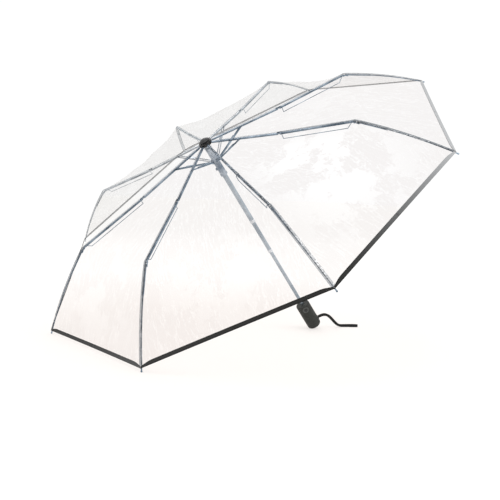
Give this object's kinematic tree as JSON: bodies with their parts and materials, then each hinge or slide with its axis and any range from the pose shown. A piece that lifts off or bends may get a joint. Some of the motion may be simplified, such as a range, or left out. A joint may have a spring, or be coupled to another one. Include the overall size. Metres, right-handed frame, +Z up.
{
  "type": "folding umbrella",
  "caption": "Compact three-fold push-button umbrella with a clear film canopy and black rim tape, open and lying on its rim and handle, with a telescoping shaft and a wrist strap.",
  "frame": {"origin": "on the floor, under the middle of the umbrella's plan as it lies open on two rib tips and the handle's end", "axes": "+Z up from the floor; +X level, the way the shaft runs down to the handle; +Y level, across, from the button's side to the far side"},
  "size_m": [0.6934, 0.8998, 0.5806],
  "materials": {
    "steel_rib": "satin, blue-grey plated strip",
    "steel_tube": "satin plated tube",
    "steel_wire": "bright drawn wire",
    "clear_film": "clear soft film, glossy, slightly wrinkled",
    "black_tape": "black woven tape, matte",
    "grip_plastic": "soft-touch coated, matte",
    "black_plastic": "moulded, satin",
    "bezel_plastic": "moulded, satin",
    "pale_plastic": "moulded, satin",
    "runner_plastic": "moulded, silver grey",
    "core_plastic": "moulded, plain",
    "webbing": "narrow woven strap"
  },
  "bodies": {
    "handle": {"grip": "grip_plastic", "grip_core": "core_plastic", "grip_end_cap": "grip_plastic", "lower_tube": "steel_tube", "button_bezel": "bezel_plastic", "button_spring": "steel_wire", "strap_anchor": "black_plastic", "wrist_strap": "webbing"},
    "button": {"button": "black_plastic"},
    "middle_section": {"middle_tube": "steel_tube", "middle_tube_bush": "pale_plastic"},
    "top_section": {"top_tube": "steel_tube", "top_tube_bush": "pale_plastic", "main_spring": "steel_wire", "crown": "black_plastic", "crown_cap": "black_plastic", "crown_wire": "steel_wire", "rim_binding": "black_tape", "canopy_panel_1": "clear_film", "canopy_panel_2": "clear_film", "canopy_panel_3": "clear_film", "canopy_panel_4": "clear_film", "canopy_panel_5": "clear_film", "canopy_panel_6": "clear_film", "canopy_panel_7": "clear_film", "canopy_panel_8": "clear_film"},
    "runner": {"runner": "runner_plastic", "runner_wire": "steel_wire"},
    "inner_rib_1": {"inner_rib_1": "steel_rib"},
    "middle_rib_1": {"middle_rib_1": "steel_rib"},
    "outer_rib_1": {"outer_rib_1": "steel_rib"},
    "stretcher_1": {"stretcher_1": "steel_rib"},
    "inner_rib_2": {"inner_rib_2": "steel_rib"},
    "middle_rib_2": {"middle_rib_2": "steel_rib"},
    "outer_rib_2": {"outer_rib_2": "steel_rib"},
    "stretcher_2": {"stretcher_2": "steel_rib"},
    "inner_rib_3": {"inner_rib_3": "steel_rib"},
    "middle_rib_3": {"middle_rib_3": "steel_rib"},
    "outer_rib_3": {"outer_rib_3": "steel_rib"},
    "stretcher_3": {"stretcher_3": "steel_rib"},
    "inner_rib_4": {"inner_rib_4": "steel_rib"},
    "middle_rib_4": {"middle_rib_4": "steel_rib"},
    "outer_rib_4": {"outer_rib_4": "steel_rib"},
    "stretcher_4": {"stretcher_4": "steel_rib"},
    "inner_rib_5": {"inner_rib_5": "steel_rib"},
    "middle_rib_5": {"middle_rib_5": "steel_rib"},
    "outer_rib_5": {"outer_rib_5": "steel_rib"},
    "stretcher_5": {"stretcher_5": "steel_rib"},
    "inner_rib_6": {"inner_rib_6": "steel_rib"},
    "middle_rib_6": {"middle_rib_6": "steel_rib"},
    "outer_rib_6": {"outer_rib_6": "steel_rib"},
    "stretcher_6": {"stretcher_6": "steel_rib"},
    "inner_rib_7": {"inner_rib_7": "steel_rib"},
    "middle_rib_7": {"middle_rib_7": "steel_rib"},
    "outer_rib_7": {"outer_rib_7": "steel_rib"},
    "stretcher_7": {"stretcher_7": "steel_rib"},
    "inner_rib_8": {"inner_rib_8": "steel_rib"},
    "middle_rib_8": {"middle_rib_8": "steel_rib"},
    "outer_rib_8": {"outer_rib_8": "steel_rib"},
    "stretcher_8": {"stretcher_8": "steel_rib"}
  },
  "joints": [
    {"name": "shaft_collapse", "type": "slide", "parent": "handle", "child": "middle_section", "axis": [0.6385, 0, -0.7696], "range_m": [0, 0.16]},
    {"name": "top_tube_slide", "type": "slide", "parent": "middle_section", "child": "top_section", "axis": [0.6385, 0, -0.7696], "range_m": [0, 0.0771], "deforming": ["main_spring"]},
    {"name": "canopy_fold", "type": "slide", "parent": "top_section", "child": "runner", "axis": [0.6385, 0, -0.7696], "range_m": [0, 0.10681], "deforming": ["canopy_panel_1", "canopy_panel_2", "canopy_panel_3", "canopy_panel_4", "canopy_panel_5", "canopy_panel_6", "canopy_panel_7", "canopy_panel_8", "rim_binding"]},
    {"name": "button_press", "type": "slide", "parent": "handle", "child": "button", "axis": [0.3848, 0.866, 0.3193], "range_m": [0, 0.0025], "stiffness_N_per_m": 400, "springref_m": -0.003, "deforming": ["button_spring"]},
    {"name": "inner_rib_1_hinge", "type": "hinge", "parent": "top_section", "child": "inner_rib_1", "pos_m": [-0.09349, 0.00467, 0.41824], "axis": [-0.2945, 0.9239, -0.2443], "range_deg": [0, 81.27]},
    {"name": "middle_rib_1_hinge", "type": "hinge", "parent": "inner_rib_1", "child": "middle_rib_1", "pos_m": [0.03089, 0.064, 0.49266], "axis": [0.2945, -0.9239, 0.2443], "range_deg": [0, 177.77]},
    {"name": "outer_rib_1_hinge", "type": "hinge", "parent": "middle_rib_1", "child": "outer_rib_1", "pos_m": [0.15842, 0.12527, 0.57058], "axis": [-0.2945, 0.9239, -0.2443], "range_deg": [0, 149.64]},
    {"name": "stretcher_1_hinge", "type": "hinge", "parent": "runner", "child": "stretcher_1", "pos_m": [-0.06859, 0.00352, 0.38389], "axis": [0.2945, -0.9239, 0.2443], "range_deg": [0, 64.23]},
    {"name": "inner_rib_2_hinge", "type": "hinge", "parent": "top_section", "child": "inner_rib_2", "pos_m": [-0.09857, 0.01127, 0.41402], "axis": [-0.711, 0.3827, -0.5899], "range_deg": [0, 81.27]},
    {"name": "middle_rib_2_hinge", "type": "hinge", "parent": "inner_rib_2", "child": "middle_rib_2", "pos_m": [-0.03877, 0.15451, 0.43487], "axis": [0.711, -0.3827, 0.5899], "range_deg": [0, 177.77]},
    {"name": "outer_rib_2_hinge", "type": "hinge", "parent": "middle_rib_2", "child": "outer_rib_2", "pos_m": [0.02209, 0.30242, 0.45747], "axis": [-0.711, 0.3827, -0.5899], "range_deg": [0, 149.64]},
    {"name": "stretcher_2_hinge", "type": "hinge", "parent": "runner", "child": "stretcher_2", "pos_m": [-0.07243, 0.0085, 0.38072], "axis": [0.711, -0.3827, 0.5899], "range_deg": [0, 64.23]},
    {"name": "inner_rib_3_hinge", "type": "hinge", "parent": "top_section", "child": "inner_rib_3", "pos_m": [-0.10576, 0.01127, 0.40806], "axis": [-0.711, -0.3827, -0.5899], "range_deg": [0, 81.27]},
    {"name": "middle_rib_3_hinge", "type": "hinge", "parent": "inner_rib_3", "child": "middle_rib_3", "pos_m": [-0.13728, 0.15451, 0.35314], "axis": [0.711, 0.3827, 0.5899], "range_deg": [0, 177.77]},
    {"name": "outer_rib_3_hinge", "type": "hinge", "parent": "middle_rib_3", "child": "outer_rib_3", "pos_m": [-0.17073, 0.30242, 0.2975], "axis": [-0.711, -0.3827, -0.5899], "range_deg": [0, 149.64]},
    {"name": "stretcher_3_hinge", "type": "hinge", "parent": "runner", "child": "stretcher_3", "pos_m": [-0.07784, 0.0085, 0.37622], "axis": [0.711, 0.3827, 0.5899], "range_deg": [0, 64.23]},
    {"name": "inner_rib_4_hinge", "type": "hinge", "parent": "top_section", "child": "inner_rib_4", "pos_m": [-0.11084, 0.00467, 0.40385], "axis": [-0.2945, -0.9239, -0.2443], "range_deg": [0, 81.27]},
    {"name": "middle_rib_4_hinge", "type": "hinge", "parent": "inner_rib_4", "child": "middle_rib_4", "pos_m": [-0.20693, 0.064, 0.29535], "axis": [0.2945, 0.9239, 0.2443], "range_deg": [0, 177.77]},
    {"name": "outer_rib_4_hinge", "type": "hinge", "parent": "middle_rib_4", "child": "outer_rib_4", "pos_m": [-0.30707, 0.12527, 0.18439], "axis": [-0.2945, -0.9239, -0.2443], "range_deg": [0, 149.64]},
    {"name": "stretcher_4_hinge", "type": "hinge", "parent": "runner", "child": "stretcher_4", "pos_m": [-0.08168, 0.00352, 0.37304], "axis": [0.2945, 0.9239, 0.2443], "range_deg": [0, 64.23]},
    {"name": "inner_rib_5_hinge", "type": "hinge", "parent": "top_section", "child": "inner_rib_5", "pos_m": [-0.11084, -0.00467, 0.40385], "axis": [0.2945, -0.9239, 0.2443], "range_deg": [0, 81.27]},
    {"name": "middle_rib_5_hinge", "type": "hinge", "parent": "inner_rib_5", "child": "middle_rib_5", "pos_m": [-0.20693, -0.064, 0.29535], "axis": [-0.2945, 0.9239, -0.2443], "range_deg": [0, 177.77]},
    {"name": "outer_rib_5_hinge", "type": "hinge", "parent": "middle_rib_5", "child": "outer_rib_5", "pos_m": [-0.30707, -0.12527, 0.18439], "axis": [0.2945, -0.9239, 0.2443], "range_deg": [0, 149.64]},
    {"name": "stretcher_5_hinge", "type": "hinge", "parent": "runner", "child": "stretcher_5", "pos_m": [-0.08168, -0.00352, 0.37304], "axis": [-0.2945, 0.9239, -0.2443], "range_deg": [0, 64.23]},
    {"name": "inner_rib_6_hinge", "type": "hinge", "parent": "top_section", "child": "inner_rib_6", "pos_m": [-0.10576, -0.01127, 0.40806], "axis": [0.711, -0.3827, 0.5899], "range_deg": [0, 81.27]},
    {"name": "middle_rib_6_hinge", "type": "hinge", "parent": "inner_rib_6", "child": "middle_rib_6", "pos_m": [-0.13728, -0.15451, 0.35314], "axis": [-0.711, 0.3827, -0.5899], "range_deg": [0, 177.77]},
    {"name": "outer_rib_6_hinge", "type": "hinge", "parent": "middle_rib_6", "child": "outer_rib_6", "pos_m": [-0.17073, -0.30242, 0.2975], "axis": [0.711, -0.3827, 0.5899], "range_deg": [0, 149.64]},
    {"name": "stretcher_6_hinge", "type": "hinge", "parent": "runner", "child": "stretcher_6", "pos_m": [-0.07784, -0.0085, 0.37622], "axis": [-0.711, 0.3827, -0.5899], "range_deg": [0, 64.23]},
    {"name": "inner_rib_7_hinge", "type": "hinge", "parent": "top_section", "child": "inner_rib_7", "pos_m": [-0.09857, -0.01127, 0.41402], "axis": [0.711, 0.3827, 0.5899], "range_deg": [0, 81.27]},
    {"name": "middle_rib_7_hinge", "type": "hinge", "parent": "inner_rib_7", "child": "middle_rib_7", "pos_m": [-0.03877, -0.15451, 0.43487], "axis": [-0.711, -0.3827, -0.5899], "range_deg": [0, 177.77]},
    {"name": "outer_rib_7_hinge", "type": "hinge", "parent": "middle_rib_7", "child": "outer_rib_7", "pos_m": [0.02209, -0.30242, 0.45747], "axis": [0.711, 0.3827, 0.5899], "range_deg": [0, 149.64]},
    {"name": "stretcher_7_hinge", "type": "hinge", "parent": "runner", "child": "stretcher_7", "pos_m": [-0.07243, -0.0085, 0.38072], "axis": [-0.711, -0.3827, -0.5899], "range_deg": [0, 64.23]},
    {"name": "inner_rib_8_hinge", "type": "hinge", "parent": "top_section", "child": "inner_rib_8", "pos_m": [-0.09349, -0.00467, 0.41824], "axis": [0.2945, 0.9239, 0.2443], "range_deg": [0, 81.27]},
    {"name": "middle_rib_8_hinge", "type": "hinge", "parent": "inner_rib_8", "child": "middle_rib_8", "pos_m": [0.03089, -0.064, 0.49266], "axis": [-0.2945, -0.9239, -0.2443], "range_deg": [0, 177.77]},
    {"name": "outer_rib_8_hinge", "type": "hinge", "parent": "middle_rib_8", "child": "outer_rib_8", "pos_m": [0.15842, -0.12527, 0.57058], "axis": [0.2945, 0.9239, 0.2443], "range_deg": [0, 149.64]},
    {"name": "stretcher_8_hinge", "type": "hinge", "parent": "runner", "child": "stretcher_8", "pos_m": [-0.06859, -0.00352, 0.38389], "axis": [-0.2945, -0.9239, -0.2443], "range_deg": [0, 64.23]}
  ],
  "couplings": [
    {"joint": "top_tube_slide", "follows": "shaft_collapse", "ratio": 0.48125},
    {"joint": "inner_rib_1_hinge", "follows": "canopy_fold", "rad_per_m": 13.276},
    {"joint": "middle_rib_1_hinge", "follows": "canopy_fold", "rad_per_m": 29.044},
    {"joint": "outer_rib_1_hinge", "follows": "canopy_fold", "rad_per_m": 24.448},
    {"joint": "stretcher_1_hinge", "follows": "canopy_fold", "rad_per_m": 10.491},
    {"joint": "inner_rib_2_hinge", "follows": "canopy_fold", "rad_per_m": 13.276},
    {"joint": "middle_rib_2_hinge", "follows": "canopy_fold", "rad_per_m": 29.044},
    {"joint": "outer_rib_2_hinge", "follows": "canopy_fold", "rad_per_m": 24.448},
    {"joint": "stretcher_2_hinge", "follows": "canopy_fold", "rad_per_m": 10.491},
    {"joint": "inner_rib_3_hinge", "follows": "canopy_fold", "rad_per_m": 13.276},
    {"joint": "middle_rib_3_hinge", "follows": "canopy_fold", "rad_per_m": 29.044},
    {"joint": "outer_rib_3_hinge", "follows": "canopy_fold", "rad_per_m": 24.448},
    {"joint": "stretcher_3_hinge", "follows": "canopy_fold", "rad_per_m": 10.491},
    {"joint": "inner_rib_4_hinge", "follows": "canopy_fold", "rad_per_m": 13.276},
    {"joint": "middle_rib_4_hinge", "follows": "canopy_fold", "rad_per_m": 29.044},
    {"joint": "outer_rib_4_hinge", "follows": "canopy_fold", "rad_per_m": 24.448},
    {"joint": "stretcher_4_hinge", "follows": "canopy_fold", "rad_per_m": 10.491},
    {"joint": "inner_rib_5_hinge", "follows": "canopy_fold", "rad_per_m": 13.276},
    {"joint": "middle_rib_5_hinge", "follows": "canopy_fold", "rad_per_m": 29.044},
    {"joint": "outer_rib_5_hinge", "follows": "canopy_fold", "rad_per_m": 24.448},
    {"joint": "stretcher_5_hinge", "follows": "canopy_fold", "rad_per_m": 10.491},
    {"joint": "inner_rib_6_hinge", "follows": "canopy_fold", "rad_per_m": 13.276},
    {"joint": "middle_rib_6_hinge", "follows": "canopy_fold", "rad_per_m": 29.044},
    {"joint": "outer_rib_6_hinge", "follows": "canopy_fold", "rad_per_m": 24.448},
    {"joint": "stretcher_6_hinge", "follows": "canopy_fold", "rad_per_m": 10.491},
    {"joint": "inner_rib_7_hinge", "follows": "canopy_fold", "rad_per_m": 13.276},
    {"joint": "middle_rib_7_hinge", "follows": "canopy_fold", "rad_per_m": 29.044},
    {"joint": "outer_rib_7_hinge", "follows": "canopy_fold", "rad_per_m": 24.448},
    {"joint": "stretcher_7_hinge", "follows": "canopy_fold", "rad_per_m": 10.491},
    {"joint": "inner_rib_8_hinge", "follows": "canopy_fold", "rad_per_m": 13.276},
    {"joint": "middle_rib_8_hinge", "follows": "canopy_fold", "rad_per_m": 29.044},
    {"joint": "outer_rib_8_hinge", "follows": "canopy_fold", "rad_per_m": 24.448},
    {"joint": "stretcher_8_hinge", "follows": "canopy_fold", "rad_per_m": 10.491}
  ]
}
